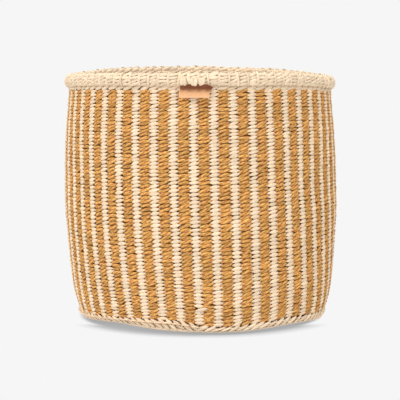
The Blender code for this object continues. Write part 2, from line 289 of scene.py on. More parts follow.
# How far the foot curls up: degrees round the basket from its front, then mm off the floor at
# the floor and where the wall starts
FOOT_LIFT = (
    (-180, 0.0, 0.0),
    (-90, 0.0, 0.0),
    (-75, 1.0, 0.5),
    (-64, 3.0, 1.0),
    (-54, 5.0, 2.0),
    (-41, 6.6, 3.8),
    (-31, 5.3, 4.9),
    (-20, 3.3, 5.0),
    (-11, 2.6, 4.6),
    (-5, 2.2, 2.4),
    (4, 2.0, -1.2),
    (13, 1.8, -1.2),
    (22, 2.1, 0.2),
    (32, 3.2, 1.2),
    (41, 4.2, 3.0),
    (51, 4.0, 2.3),
    (61, 2.8, 1.6),
    (75, 0.8, 0.5),
    (90, 0.0, 0.0),
    (180, 0.0, 0.0),
)


def lean_at(table, level):
    """The lean in a table at a height."""
    return np.interp(level / MM, *smooth_line(table, 14))


def foot_lift(turn, radius, level):
    """How far points near the floor are lifted, less and less up the wall and in the base."""
    around = np.degrees((turn + math.pi) % math.tau - math.pi)
    degrees, at_floor, at_wall = zip(*FOOT_LIFT)
    low = np.interp(around, *smooth_line(tuple(zip(degrees, at_floor)), 1))
    high = np.interp(around, *smooth_line(tuple(zip(degrees, at_wall)), 1))
    lift = low + (high - low) * np.clip(level / FOOT_TOP, 0, 1)
    fade = np.clip(1 - (level - FOOT_TOP) / LIFT_FADE, 0, 1)
    return MM * lift * fade * np.clip((radius - LIFT_START) / LIFT_GROWTH, 0, 1)


def by_hand(turn, radius, level):
    """Moves points from the true outline to where a hand-made, used basket has them."""
    sizes = bpy.context.scene.kiondo_wall
    sine, cosine = np.sin(turn), np.cos(turn)
    ahead = np.clip((cosine + 0.3) / 0.75, 0, 1)
    ahead = LEAN_BEHIND_SHARE + (1 - LEAN_BEHIND_SHARE) * ahead**2 * (3 - 2 * ahead)
    lean = lean_at(SIDE_LEAN, level) * sine**3 + lean_at(FLANK_LEAN, level) * sine**2
    lean = lean_at(FRONT_LEAN, level) + lean * ahead
    up = np.clip(level / BASKET_TOP, 0, 1.05)
    waves = sum(
        size * np.sin(count * turn + start + twist * up) for count, start, twist, size in WALL_WAVES
    )
    radius = radius + sizes.unevenness * waves * np.clip(radius / (100 * MM), 0, 1)
    drawn_in = sizes.side_tuck * sine**10 * np.clip(1 - level / TUCK_FADE, 0, 1) ** 2
    radius = radius * (1 - drawn_in / FOOT_RADIUS)
    # The rim hangs down at both sides, and on the right towards the back too
    left, right = np.clip(-sine, 0, 1), np.clip(sine, 0, 1)
    droop = sizes.left_droop * (0.8 * left**6 + 0.2 * left)
    droop = droop + sizes.right_droop * (right**5 + 0.6 * right * np.clip(-cosine, 0, 1))
    turn = turn + np.radians(lean)
    x = radius * np.sin(turn) + FOOT_SHIFT * (1 - up) ** 2
    y = -radius * np.cos(turn)
    raised = level - droop * up**2 + foot_lift(turn, radius, level)
    raised = np.where(raised < 0, PRESSED_SHARE * raised, raised)
    return np.stack([x, y, raised], axis=-1)


def wrap(outline, facing=1):
    """Lays a stitch on an upright face: facing 1 is seen from outside, -1 from inside."""

    def lay(turn, height, along, depth, up):
        level = height + up
        around = turn + facing * along / outline(height)
        return by_hand(around, outline(level) - facing * depth, level)

    return lay


def spread_flat(surface, facing):
    """Lays a stitch on the base: facing 1 is seen from above, -1 from below."""

    def lay(turn, ring, along, depth, up):
        distance = ring - facing * up
        around = turn + along / np.maximum(ring, 4 * MM)
        return by_hand(around, distance, surface(distance) - facing * depth)

    return lay


# Strands: one is modelled, then copied onto the basket


def open_for_editing(name):
    """Names the object that was added last and opens it for editing, with all of it selected."""
    made = bpy.context.object
    made.name = name
    bpy.ops.object.mode_set(mode="EDIT")
    bpy.ops.mesh.select_all(action="SELECT")
    return made


def strand(name, sides, rings):
    """One strand along X with its outer side towards -Y, drawn out ring by ring.

    A ring is (place along X, depth of its outer side, half height, thickness).
    """
    bpy.ops.mesh.primitive_circle_add(
        vertices=sides, radius=1, fill_type="NGON", rotation=(0, math.pi / 2, 0)
    )
    bpy.ops.object.transform_apply(location=True, rotation=True, scale=True)
    made = open_for_editing(name)
    place, middle, size = 0, 0, (1, 1)
    for number, (along, depth, half_height, thickness) in enumerate(rings):
        centre = depth + thickness / 2
        move = (along - place, centre - middle, 0)
        if number:
            bpy.ops.mesh.extrude_region_move(TRANSFORM_OT_translate={"value": move})
        else:
            bpy.ops.transform.translate(value=move)
        grow = (1, thickness / 2 / size[0], half_height / size[1])
        bpy.ops.transform.resize(value=grow, center_override=(along, centre, 0))
        place, middle, size = along, centre, (thickness / 2, half_height)
    bpy.ops.mesh.select_all(action="SELECT")
    bpy.ops.mesh.normals_make_consistent(inside=False)
    bpy.ops.object.mode_set(mode="OBJECT")
    return made


def cord(name, sides, path, radii):
    """One cord along a path in the XY plane, made as a curve and turned into a mesh."""
    bpy.ops.curve.primitive_nurbs_path_add()
    curve = bpy.context.object.data
    spline = curve.splines[0]
    spline.points.add(len(path) - len(spline.points))
    for point, (x, y), radius in zip(spline.points, path, radii):
        point.co = (x, y, 0, 1)
        point.radius = radius / MM
    spline.use_endpoint_u = True
    spline.order_u = 3
    spline.resolution_u = 2
    curve.dimensions = "3D"
    curve.bevel_depth = MM
    curve.bevel_resolution = (sides - 4) // 2
    curve.use_fill_caps = True
    bpy.ops.object.convert(target="MESH")
    made = open_for_editing(name)
    bpy.ops.mesh.remove_doubles(threshold=MM / 100)
    bpy.ops.mesh.normals_make_consistent(inside=False)
    bpy.ops.object.mode_set(mode="OBJECT")
    return made


def mesh_arrays(made):
    """The points and faces of a modelled strand, which is then removed."""
    points = np.array([vertex.co[:] for vertex in made.data.vertices])
    faces = [tuple(polygon.vertices) for polygon in made.data.polygons]
    mesh = made.data
    bpy.data.objects.remove(made, do_unlink=True)
    bpy.data.meshes.remove(mesh)
    return points, faces


def spots(count):
    """A table of where copies go, with one entry for each copy."""
    kinds = ("turn", "place", "slant", "stretch", "swell", "sink", "tone")
    table = {kind: np.zeros(count) for kind in kinds}
    table["stretch"] += 1
    table["swell"] += 1
    return table


def spots_round(count, shift, place, slant=0.0, sink=0.0):
    """Copies evenly round the basket, from the tab on, moved on by a share of their spacing."""
    table = spots(count)
    table["turn"] = TAB_TURN + math.tau / count * (np.arange(count) + shift)
    table["place"] += place
    table["slant"] += slant
    table["sink"] += sink
    return table


def copies(made, table, lay, seed, crease_shade=1.0):
    """Copies of a strand laid on the basket: points, faces, strand coordinates and tones.

    The crease shade is how much of a strand's depth counts for the shade painted into its creases.
    """
    points, faces = mesh_arrays(made)
    chance = np.random.default_rng(seed)
    count = len(table["turn"])
    column = {kind: values[:, None] for kind, values in table.items()}
    across = points[None, :, 0] * column["stretch"]
    height = points[None, :, 2] * column["swell"]
    depth = points[None, :, 1] + column["sink"]
    along = across * np.cos(column["slant"]) - height * np.sin(column["slant"])
    up = across * np.sin(column["slant"]) + height * np.cos(column["slant"])
    turn = np.broadcast_to(column["turn"], along.shape)
    place = np.broadcast_to(column["place"], along.shape)
    laid = lay(turn, place, along, depth, up)
    drawn = np.broadcast_to(points, laid.shape).copy()
    drawn[:, :, 0] += chance.uniform(-1, 1, (count, 1))
    # Painted shade: the depth that the material darkens, scaled by the crease shade
    drawn[:, :, 1] *= crease_shade
    tones = np.broadcast_to(column["tone"], along.shape)
    shift = len(points)
    all_faces = [
        tuple(shift * number + corner for corner in face)
        for number in range(count)
        for face in faces
    ]
    return laid.reshape(-1, 3), all_faces, drawn.reshape(-1, 3), tones.reshape(-1)


def stitches(name, sides, left_rings, table, lay, seed, crease_shade=1.0):
    """Copies of one stitch, from the rings of its left half in mm. Its right half mirrors it."""
    right_rings = [(-along, *rest) for along, *rest in reversed(left_rings) if along]
    rings = [tuple(value * MM for value in ring) for ring in (*left_rings, *right_rings)]
    return copies(strand(name, sides, rings), table, lay, seed, crease_shade)


def joined(name, parts):
    """One mesh object from several sets of copies."""
    points, faces, drawn, tones = [], [], [], []
    start = 0
    for laid, part_faces, part_drawn, part_tones in parts:
        points.append(laid)
        faces += [tuple(start + corner for corner in face) for face in part_faces]
        drawn.append(part_drawn)
        tones.append(part_tones)
        start += len(laid)
    mesh = bpy.data.meshes.new(name)
    mesh.from_pydata(np.concatenate(points).tolist(), [], faces)
    strand_places = mesh.attributes.new("strand", "FLOAT_VECTOR", "POINT")
    strand_places.data.foreach_set("vector", np.concatenate(drawn).astype(np.float32).ravel())
    tone = mesh.attributes.new("tone", "FLOAT", "POINT")
    tone.data.foreach_set("value", np.concatenate(tones).astype(np.float32))
    mesh.shade_smooth()
    made = bpy.data.objects.new(name, mesh)
    bpy.context.scene.collection.objects.link(made)
    return made


def finish_piece(made, material, nodes, body="basket"):
    """Gives a finished piece its material and its body, and hides the CAD nodes that it stands for.
    """
    made.data.materials.clear()
    made.data.materials.append(materials()[material])
    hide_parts(*nodes)
    if body:
        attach(made, body)


def scatter(table, seed, slant=0.0, stretch=0.0, swell=0.0, sink=0.0):
    """Small differences between one copy and the next."""
    chance = np.random.default_rng(seed)
    count = len(table["turn"])
    table["slant"] += np.radians(slant) * chance.normal(0, 1, count)
    table["stretch"] *= 1 + stretch * chance.normal(0, 1, count)
    table["swell"] *= 1 + swell * chance.normal(0, 1, count)
    table["sink"] += sink * chance.normal(0, 1, count)
    table["tone"] = np.clip(chance.normal(0.5, 0.2, count), 0, 1)


# Materials


def node_group(name, inputs, outputs):
    """A new shader node group with its named inputs and outputs."""
    group = bpy.data.node_groups.new(name, "ShaderNodeTree")
    for socket, kind, default in inputs:
        made = group.interface.new_socket(socket, in_out="INPUT", socket_type=kind)
        if default is not None:
            made.default_value = default
    for socket, kind in outputs:
        group.interface.new_socket(socket, in_out="OUTPUT", socket_type=kind)
    return group, group.nodes.new("NodeGroupInput"), group.nodes.new("NodeGroupOutput")


class Wiring:
    """Adds nodes to one tree and joins them."""

    def __init__(self, tree):
        self.tree = tree

    def node(self, kind, inputs=(), **options):
        made = self.tree.nodes.new(kind)
        for name, value in options.items():
            setattr(made, name, value)
        for socket, value in dict(inputs).items():
            self.feed(made.inputs[socket], value)
        return made

    def feed(self, socket, value):
        if isinstance(value, bpy.types.NodeSocket):
            self.tree.links.new(value, socket)
        else:
            socket.default_value = value

    def math(self, operation, *values, clamp=False):
        made = self.node("ShaderNodeMath", enumerate(values), operation=operation)
        made.use_clamp = clamp
        return made.outputs[0]

    def ramp(self, value, low, high, to_low=0.0, to_high=1.0):
        inputs = {"Value": value, "From Min": low, "From Max": high}
        inputs.update({"To Min": to_low, "To Max": to_high})
        made = self.node("ShaderNodeMapRange", inputs)
        made.interpolation_type = "SMOOTHSTEP"
        return made.outputs[0]

    def mix(self, share_of_second, first, second):
        made = self.node("ShaderNodeMix", data_type="RGBA")
        self.feed(made.inputs[0], share_of_second)
        self.feed(made.inputs[6], first)
        self.feed(made.inputs[7], second)
        return made.outputs[2]

    def noise(self, vector, scale, detail):
        inputs = {"Vector": vector, "Scale": scale, "Detail": detail}
        return self.node("ShaderNodeTexNoise", inputs).outputs["Fac"]


def new_material(name):
    """A new material: the wiring of its nodes, and its shader."""
    material = bpy.data.materials.new(name)
    material.use_nodes = True
    return Wiring(material.node_tree), material.node_tree.nodes["Principled BSDF"]


def fibre_group():
    """Long fibres that run along a strand, and the uneven colour of hand-rolled sisal."""
    inputs = (("Strand", "NodeSocketVector", None),)
    outputs = (("Fibres", "NodeSocketFloat"), ("Patches", "NodeSocketFloat"))
    group, start, end = node_group("sisal_fibres", inputs, outputs)
    wire = Wiring(group)
    drawn_out = wire.node(
        "ShaderNodeVectorMath",
        {0: start.outputs["Strand"], 1: (260, 2600, 2600)},
        operation="MULTIPLY",
    )
    fibres = wire.noise(drawn_out.outputs[0], 1.0, 3.0)
    wire.feed(end.inputs["Fibres"], wire.ramp(fibres, 0.32, 0.68))
    patches = wire.noise(start.outputs["Strand"], 420.0, 2.0)
    wire.feed(end.inputs["Patches"], wire.ramp(patches, 0.3, 0.7))


def ply_group():
    """The groove between the two plies of a twisted strand, 1 on the plies and 0 between them."""
    inputs = (
        ("Strand", "NodeSocketVector", None),
        ("Lay", "NodeSocketFloat", 1.0),
        ("Tone", "NodeSocketFloat", 0.5),
    )
    group, start, end = node_group("sisal_plies", inputs, (("Plies", "NodeSocketFloat"),))
    wire = Wiring(group)
    parts = wire.node("ShaderNodeSeparateXYZ", {0: start.outputs["Strand"]})
    along = wire.math("MULTIPLY", parts.outputs["X"], start.outputs["Lay"])
    across = wire.math("MULTIPLY", parts.outputs["Z"], -1150.0)
    phase = wire.math("ADD", along, across)
    phase = wire.math("ADD", phase, wire.math("MULTIPLY", start.outputs["Tone"], 9.0))
    wave = wire.math("ABSOLUTE", wire.math("SINE", phase))
    wire.feed(end.inputs["Plies"], wire.ramp(wave, 0.0, 0.75))


def sisal(name, light, shade, lay, groove_share, spread, patch_share):
    """Twisted sisal: fibres along the strand, plies, tones from stitch to stitch, painted shade in
    creases.
    """
    wire, shader = new_material(name)
    strand_place = wire.node("ShaderNodeAttribute", attribute_name="strand").outputs["Vector"]
    tone = wire.node("ShaderNodeAttribute", attribute_name="tone").outputs["Fac"]
    fibre = wire.node("ShaderNodeGroup", node_tree=bpy.data.node_groups["sisal_fibres"])
    wire.feed(fibre.inputs["Strand"], strand_place)
    ply = wire.node("ShaderNodeGroup", node_tree=bpy.data.node_groups["sisal_plies"])
    wire.feed(ply.inputs["Strand"], strand_place)
    wire.feed(ply.inputs["Lay"], lay)
    wire.feed(ply.inputs["Tone"], tone)
    depth = wire.node("ShaderNodeSeparateXYZ", {0: strand_place}).outputs["Y"]
    # Painted shade: the deeper a point lies in its strand, the darker its colour, as shade in the
    # creases
    crease_shade = wire.ramp(depth, 0.7 * MM, 2.1 * MM)
    # Painted shade in the grooves between the plies, besides their bump
    darker = wire.math("MULTIPLY", wire.math("SUBTRACT", 1.0, ply.outputs["Plies"]), groove_share)
    darker = wire.math("MAXIMUM", darker, crease_shade)
    patch = wire.math("SUBTRACT", 1.0, fibre.outputs["Patches"])
    patch = wire.math("MULTIPLY", patch, patch_share)
    fibres = wire.math("MULTIPLY", wire.math("SUBTRACT", 1.0, fibre.outputs["Fibres"]), 0.16)
    darker = wire.math("ADD", wire.math("ADD", darker, patch), fibres, clamp=True)
    base = wire.mix(darker, (*light, 1), (*shade, 1))
    value = wire.ramp(tone, 0.0, 1.0, 1 - spread / 2, 1 + spread / 3)
    hue = wire.ramp(fibre.outputs["Patches"], 0.0, 1.0, 0.488, 0.512)
    tint = wire.node("ShaderNodeHueSaturation", {"Color": base, "Hue": hue, "Value": value})
    wire.feed(shader.inputs["Base Color"], tint.outputs[0])
    rough = wire.ramp(fibre.outputs["Fibres"], 0.0, 1.0, 0.92, 0.72)
    wire.feed(shader.inputs["Roughness"], rough)
    height = wire.math("MULTIPLY", ply.outputs["Plies"], groove_share)
    height = wire.math("ADD", height, wire.math("MULTIPLY", fibre.outputs["Fibres"], 0.35))
    bump = wire.node("ShaderNodeBump", {"Height": height, "Strength": 0.6, "Distance": 0.35 * MM})
    wire.feed(shader.inputs["Normal"], bump.outputs[0])
    shader.inputs["Specular IOR Level"].default_value = 0.02


# The leather's finish, from the strip's hidden end down and from its middle out: where the shadow
# painted under the rim ends and is whole, and where the highlight painted along the fold and the
# paler edge start and are whole
PAINTED_RIM_SHADOW = (12.2 * MM, 6.0 * MM)
PAINTED_FOLD_HIGHLIGHT = (9.6 * MM, 12.4 * MM)
PALE_EDGE = (-12.4 * MM, -13.4 * MM)
# The colour of the painted highlight on the fold and of the paler edge
HIGHLIGHT_AND_EDGE_COLOUR = (0.88, 0.56, 0.34, 1)


def leather_material(name, face, shade):
    """Leather: fine grain, a top darkened as painted rim shadow, a painted fold highlight, a paler
    edge.
    """
    wire, shader = new_material(name)
    cut = wire.node("ShaderNodeAttribute", attribute_name="cut").outputs["Vector"]
    parts = wire.node("ShaderNodeSeparateXYZ", {0: cut})
    grain = wire.noise(cut, 2600.0, 4.0)
    cloud = wire.noise(cut, 260.0, 3.0)
    # Painted shadow of the rim over the top of the leather, with an uneven lower edge
    uneven = wire.math("MULTIPLY_ADD", cloud, 6.0 * MM, parts.outputs["Y"])
    top = wire.ramp(uneven, *PAINTED_RIM_SHADOW)
    stain = wire.math("MULTIPLY", wire.ramp(cloud, 0.35, 0.7), 0.14)
    darker = wire.math("ADD", wire.math("MULTIPLY", top, 0.95), stain, clamp=True)
    base = wire.mix(darker, (*face, 1), (*shade, 1))
    # Painted highlight along the rounded fold, and paler towards the edge on the left
    paler = wire.ramp(parts.outputs["Y"], *PAINTED_FOLD_HIGHLIGHT)
    edge = wire.ramp(parts.outputs["X"], *PALE_EDGE)
    paler = wire.math("MULTIPLY", wire.math("MAXIMUM", paler, edge), 0.6)
    base = wire.mix(paler, base, HIGHLIGHT_AND_EDGE_COLOUR)
    wire.feed(shader.inputs["Base Color"], base)
    wire.feed(shader.inputs["Roughness"], wire.ramp(grain, 0.3, 0.7, 0.50, 0.68))
    shader.inputs["Specular IOR Level"].default_value = 0.3
    bump = wire.node("ShaderNodeBump", {"Height": grain, "Strength": 0.35, "Distance": 0.1 * MM})
    wire.feed(shader.inputs["Normal"], bump.outputs[0])


def materials():
    """The materials of the basket, made once."""
    finish = bpy.context.scene.kiondo_finish
    if "sisal_fibres" not in bpy.data.node_groups:
        fibre_group()
        ply_group()
        # Each sisal: name, light, painted shade, lay of its plies, groove, spread of its tones,
        # patches
        for *look, spread, patch_share in (
            ("natural_sisal", finish.natural, finish.natural_shade, 500.0, 0.10, 0.6, 0.10),
            ("rim_sisal", finish.rim, finish.rim_shade, 500.0, 0.14, 0.6, 0.16),
            ("hidden_sisal", finish.painted_upright_shade, finish.dyed_shade, 1500.0, 0.2, 1.0, 0.22),
            ("dyed_sisal", finish.dyed, finish.dyed_shade, 340.0, 0.62, 1.25, 0.32),
        ):
            sisal(*look, finish.tone_spread * spread, patch_share)
        leather_material("tan_leather", finish.leather, finish.leather_shade)
    return bpy.data.materials


# Stitches of the wall, by the rings of their left halves in mm

NATURAL_OUTSIDE = ((-5.8, 1.5, 0.28, 0.5), (-3.7, 0.30, 1.00, 1.3), (-1.5, -0.45, 1.90, 2.3))
DYED_OUTSIDE = ((-6.5, 1.6, 0.45, 0.7), (-4.8, 0.45, 1.38, 1.6), (-1.7, -0.30, 1.72, 2.2))
INSIDE = ((-5.2, 2.1, 0.50, 0.6), (-3.6, 0.60, 1.45, 1.4), (0.0, -0.20, 1.80, 2.0))

# The one natural stitch, low in the front column, that strays over its neighbour: its row, how
# much longer it is, how far it is moved and turned, and how far it stands out
STRAY_ROW = 4
STRAY_STRETCH = 1.35
STRAY_TURN = COLUMN_TURN / 4
STRAY_SLANT = math.radians(4)
STRAY_OUT = 0.8 * MM

# Rows: how high the first one starts, what is left free over all of them, and how far they wave
FIRST_ROW = 0.9 * MM
ROWS_MARGIN = 2.0 * MM
ROW_WAVE = 0.13 * MM
# How far up the wall the rows are widest, and how much wider they are there
WIDEST_ROWS_SHARE = 0.38
ROW_SPREAD_SHARE = 0.06

# The cords in the wall, as (name, shift in columns, (depth, half width, thickness) in mm): the
# uprights, then the crossed strands that fill the wall between two columns
WALL_CORDS = (("upright", 0.0, (2.0, 0.8, 1.6)), ("crossing", 0.5, (2.4, 1.7, 1.0)))
WALL_CORD_STEPS = 26


def stitch_columns(first_place, slant, facing, seed):
    """Where the stitches of every second column go, row by row, in one slow spiral.

    A strand changes faces half a row further on, so the inner stitches stand between the outer.
    """
    sizes = bpy.context.scene.kiondo_wall
    chance = np.random.default_rng(seed)
    rows, places = np.meshgrid(np.arange(sizes.rows), np.arange(first_place, COLUMNS, 2))
    rows, places = rows.ravel(), places.ravel()
    table = spots(len(rows))
    table["turn"] = TAB_TURN + COLUMN_TURN * places
    rise = ((table["turn"] + math.pi) / math.tau) % 1
    rise = rise + (0.5 if facing < 0 else 0)
    swing = chance.uniform(0, math.tau, (2, sizes.rows))
    waves = np.sin(3 * table["turn"] + swing[0][rows]) + np.sin(8 * table["turn"] + swing[1][rows])
    climb = (rows + rise) / sizes.rows
    from_widest = math.tau * (climb - WIDEST_ROWS_SHARE)
    shift = np.sin(from_widest) + math.sin(math.tau * WIDEST_ROWS_SHARE)
    climb = climb + ROW_SPREAD_SHARE / math.tau * shift
    rise = (WALL_TOP - WALL_BOTTOM - ROWS_MARGIN) * climb
    table["place"] = WALL_BOTTOM + FIRST_ROW + rise + ROW_WAVE * waves
    table["swell"] *= 1 + ROW_SPREAD_SHARE * np.cos(from_widest)
    table["slant"] += slant
    return table


def wall_weft(name, rings, sides, first_place, slant, outline, facing, material, slot, seed):
    """One face of one colour of weft."""
    table = stitch_columns(first_place, slant, facing, seed)
    scatter(table, seed + 1, slant=4.0, stretch=0.06, swell=0.06, sink=0.16 * MM)
    if facing > 0 and first_place == 0:
        table["stretch"][STRAY_ROW] *= STRAY_STRETCH
        table["turn"][STRAY_ROW] += STRAY_TURN
        table["slant"][STRAY_ROW] += STRAY_SLANT
        table["sink"][STRAY_ROW] -= STRAY_OUT
    laid = stitches("stitch", sides, rings, table, wrap(outline, facing), seed + 2)
    piece = joined(name.replace("weft", "stitches"), [laid])
    finish_piece(piece, material, [name])


class KIONDO_OT_natural_weft(bpy.types.Operator):
    """Make the natural stitches, outside on even columns and inside on odd ones"""

    bl_idname = "kiondo.natural_weft"
    bl_label = "Natural weft"

    def execute(self, context):
        slant = context.scene.kiondo_wall.natural_slant
        look = ("natural_sisal", "sisal_natural")
        outside = ("natural_weft_outside", NATURAL_OUTSIDE, 6, 0, slant, wall_outline, 1)
        inside = ("natural_weft_inside", INSIDE, 5, 1, slant, lining_outline, -1)
        wall_weft(*outside, *look, 11)
        wall_weft(*inside, *look, 21)
        return {"FINISHED"}


class KIONDO_OT_dyed_weft(bpy.types.Operator):
    """Make the dyed stitches, outside on odd columns and inside on even ones"""

    bl_idname = "kiondo.dyed_weft"
    bl_label = "Dyed weft"

    def execute(self, context):
        slant = context.scene.kiondo_wall.dyed_slant
        look = ("dyed_sisal", "sisal_dyed")
        outside = ("dyed_weft_outside", DYED_OUTSIDE, 6, 1, slant, wall_outline, 1)
        inside = ("dyed_weft_inside", INSIDE, 5, 0, slant, lining_outline, -1)
        wall_weft(*outside, *look, 31)
        wall_weft(*inside, *look, 41)
        return {"FINISHED"}


class KIONDO_OT_uprights(bpy.types.Operator):
    """Make the upright warps and the crossed strands between the two faces of the wall"""

    bl_idname = "kiondo.uprights"
    bl_label = "Uprights"

    def execute(self, context):
        low, high = BASE_TOP - 1.5 * MM, BASKET_TOP - 5 * MM
        half = (high - low) / 2
        parts = []
        for name, shift, profile in WALL_CORDS:
            shape = [size * MM for size in profile]
            places = np.linspace(-half, half, WALL_CORD_STEPS + 1)
            rings = [(place, *shape) for place in places]
            table = spots_round(COLUMNS, shift, low + half, math.pi / 2)
            scatter(table, 51)
            parts.append(copies(strand(name, 6, rings), table, wrap(wall_outline), 52))
        piece = joined("upright_cords", parts)
        # Painted shade: the uprights and crossings take a dark colour that stands for the shade in
        # the holes
        finish_piece(piece, "hidden_sisal", ["warp_cords"])
        return {"FINISHED"}


# Base

RING_STITCH = ((-5.2, 1.5, 0.50, 0.6), (-3.4, 0.45, 1.45, 1.3), (0.0, -0.15, 1.80, 1.8))
FIRST_RING = 14.6 * MM
RING_PITCH = 3.4 * MM
# How many stitches a ring has up to each radius, and the space that one takes up unstretched
RING_COUNTS = ((26 * MM, 22), (54 * MM, 44), (math.inf, 88))
RING_STITCH_SPACE = 9.4 * MM
# Radii where the raised underside starts to go down to the floor, and where it is down
UNDERSIDE_FALL = (103 * MM, 110 * MM)
# The woven square in the middle: the size of one cell, and how far it reaches
START_CELL = 3.2 * MM
START_REACH = 13.2 * MM


def ring_stitches(last_ring, seed):
    """Where the stitches of the round base go: more in a ring as the spokes divide."""
    turns, rings, stretches = [], [], []
    ring = FIRST_RING
    while ring < last_ring:
        count = next(count for reach, count in RING_COUNTS if ring < reach)
        for number in range(count):
            turns.append(TAB_TURN + math.tau * (number + 0.5) / count)
            rings.append(ring + RING_PITCH * number / count)
            stretches.append(math.tau * ring / count / RING_STITCH_SPACE)
        ring += RING_PITCH
    table = spots(len(turns))
    table["turn"], table["place"] = np.array(turns), np.array(rings)
    table["stretch"] = np.array(stretches)
    table["slant"] += math.radians(8)
    scatter(table, seed, slant=3, stretch=0.03, swell=0.05, sink=0.08 * MM)
    return table


def base_under(distance):
    """Height of the base's underside: raised in the middle, down on the floor at the foot."""
    return np.interp(distance, UNDERSIDE_FALL, (BASE_BOTTOM, 0))


class KIONDO_OT_base(bpy.types.Operator):
    """Make the twined base: its underside, its inner face, the spokes and the starting weave"""

    bl_idname = "kiondo.base"
    bl_label = "Base"

    def execute(self, context):
        faces = (
            ("base_weave_under", base_under, -1, 115.5 * MM, 61),
            ("base_weave_inside", even(BASE_TOP), 1, 121.5 * MM, 71),
        )
        for name, surface, facing, last_ring, seed in faces:
            table = ring_stitches(last_ring, seed)
            lay = spread_flat(surface, facing)
            laid = stitches("ring_stitch", 5, RING_STITCH, table, lay, seed + 1)
            piece = joined(name.replace("weave", "stitches"), [laid])
            finish_piece(piece, "natural_sisal", [name])
        self.spokes()
        return {"FINISHED"}

    def spokes(self):
        """The spokes between the two faces, and the woven square that they start from."""
        inner, outer = 11 * MM, 121 * MM
        half = (outer - inner) / 2
        rings = [(half * share, 0, 0.9 * MM, 1.6 * MM) for share in (-1, -0.5, 0, 0.5, 1)]
        table = spots_round(STRIPE_PAIRS, 0, inner + half, -math.pi / 2)
        scatter(table, 81)
        lay = spread_flat(even(SPOKE_HEIGHT + 0.8 * MM), 1)
        parts = [copies(strand("spoke", 6, rings), table, lay, 82)]
        for facing, height, seed in ((1, BASE_TOP, 83), (-1, BASE_BOTTOM, 84)):
            parts.append(self.start_square(facing, height, seed))
        piece = joined("start_and_spokes", parts)
        finish_piece(piece, "natural_sisal", ["base_spokes"])

    def start_square(self, facing, height, seed):
        """A plain weave of short cords, seen from above or from below."""
        steps = np.arange(-4, 5)
        across, along = (grid.ravel() for grid in np.meshgrid(steps, steps))
        inside = np.hypot(across, along) * START_CELL < START_REACH
        across, along = across[inside], along[inside]
        table = spots(len(across))
        table["turn"], table["place"] = across * START_CELL, along * START_CELL
        table["slant"] += np.where((across + along) % 2, math.pi / 2, 0)
        table["stretch"] *= 0.5
        scatter(table, seed, slant=2, swell=0.04, sink=0.05 * MM)

        def lay(x, y, along, depth, up):
            return np.stack([x + along, y - facing * up, height - facing * depth + 0 * x], axis=-1)

        return stitches("start", 5, RING_STITCH, table, lay, seed)


# Foot

FOOT_STITCH = ((-7.4, 0.9, 0.40, 0.8), (-5.0, -0.10, 1.25, 1.8), (-1.8, -0.60, 1.95, 2.6))
FOOT_STITCHES = 104
# Where the foot's stitches turn over from the one slant to the other, just left of the front
FOOT_CHANGE = math.radians(-3)
# The cords under the stitches, as (name, radius, height, half width, half height), sizes in mm
FOOT_CORDS = (
    ("foot_cord", 117.2, 1.4, 2.0, 1.4),
    ("foot_core", 115.8, 5.4, 2.5, 3.4),
    ("foot_heel", 109.5, 1.7, 3.4, 1.7),
)
# Waves in such a cord: how many go round, where they start, and their size
CORD_WAVES = ((23, 1, 0.12 * MM), (61, 0, 0.10 * MM))


def ring_tube(name, distance, height, half_width, half_height, sections=8):
    """A closed ring of cord round the basket, from a torus that is flattened and set by hand."""
    bpy.ops.mesh.primitive_torus_add(
        major_radius=distance,
        minor_radius=half_width,
        major_segments=2 * COLUMNS,
        minor_segments=sections,
    )
    made = open_for_editing(name)
    squeeze = (1, 1, half_height / half_width)
    bpy.ops.transform.resize(value=squeeze, center_override=(0, 0, 0))
    bpy.ops.transform.translate(value=(0, 0, height))
    bpy.ops.object.mode_set(mode="OBJECT")
    points, faces = mesh_arrays(made)
    turn = np.arctan2(points[:, 0], -points[:, 1])
    radius = np.hypot(points[:, 0], points[:, 1])
    wavy = sum(size * np.sin(count * turn + start) for count, start, size in CORD_WAVES)
    laid = by_hand(turn, radius + wavy, points[:, 2])
    drawn = np.stack([turn * distance, 0 * turn, points[:, 2] - height], axis=-1)
    return laid, faces, drawn, np.full(len(points), 0.5)


class KIONDO_OT_foot(bpy.types.Operator):
    """Make the foot: long slanting stitches over a cord that lies on the floor"""

    bl_idname = "kiondo.foot"
    bl_label = "Foot"

    def execute(self, context):
        slant = context.scene.kiondo_rim.foot_slant
        table = spots_round(FOOT_STITCHES, 0.3, 5.7 * MM, sink=-0.5 * MM)
        falling = (table["turn"] + math.pi) % math.tau - math.pi < FOOT_CHANGE
        table["slant"] += np.where(falling, -slant, slant * 0.9)
        scatter(table, 91, slant=7, stretch=0.10, swell=0.12, sink=0.2 * MM)
        lay = wrap(foot_outline)
        parts = [stitches("foot_stitch", 6, FOOT_STITCH, table, lay, 92, crease_shade=0.42)]
        for name, *sizes in FOOT_CORDS:
            parts.append(ring_tube(name, *(size * MM for size in sizes)))
        piece = joined("foot_edge", parts)
        finish_piece(piece, "natural_sisal", ["foot_ring"])
        return {"FINISHED"}


# Rim

RIM_STITCH = ((-4.8, 1.5, 0.60, 0.8), (-3.4, 0.30, 1.30, 1.5), (-1.3, -0.10, 1.62, 1.9))
COLLAR_STITCH = ((-6.6, 1.6, 0.80, 1.0), (-4.0, 0.45, 1.80, 1.8), (0.0, -0.10, 2.20, 2.4))
PLAIT_STITCH = ((-7.0, 1.7, 0.60, 0.8), (-4.8, 0.75, 1.75, 2.6), (-1.6, 0.0, 2.40, 4.0))
PLAIT_RADIUS = 119.4 * MM
# Height of the rim's first row over its lower edge, then of its core, with the core's half width
# and half height
FIRST_RIM_ROW = 3.7 * MM
RIM_CORE = (6.9 * MM, 4.2 * MM, 5.4 * MM)
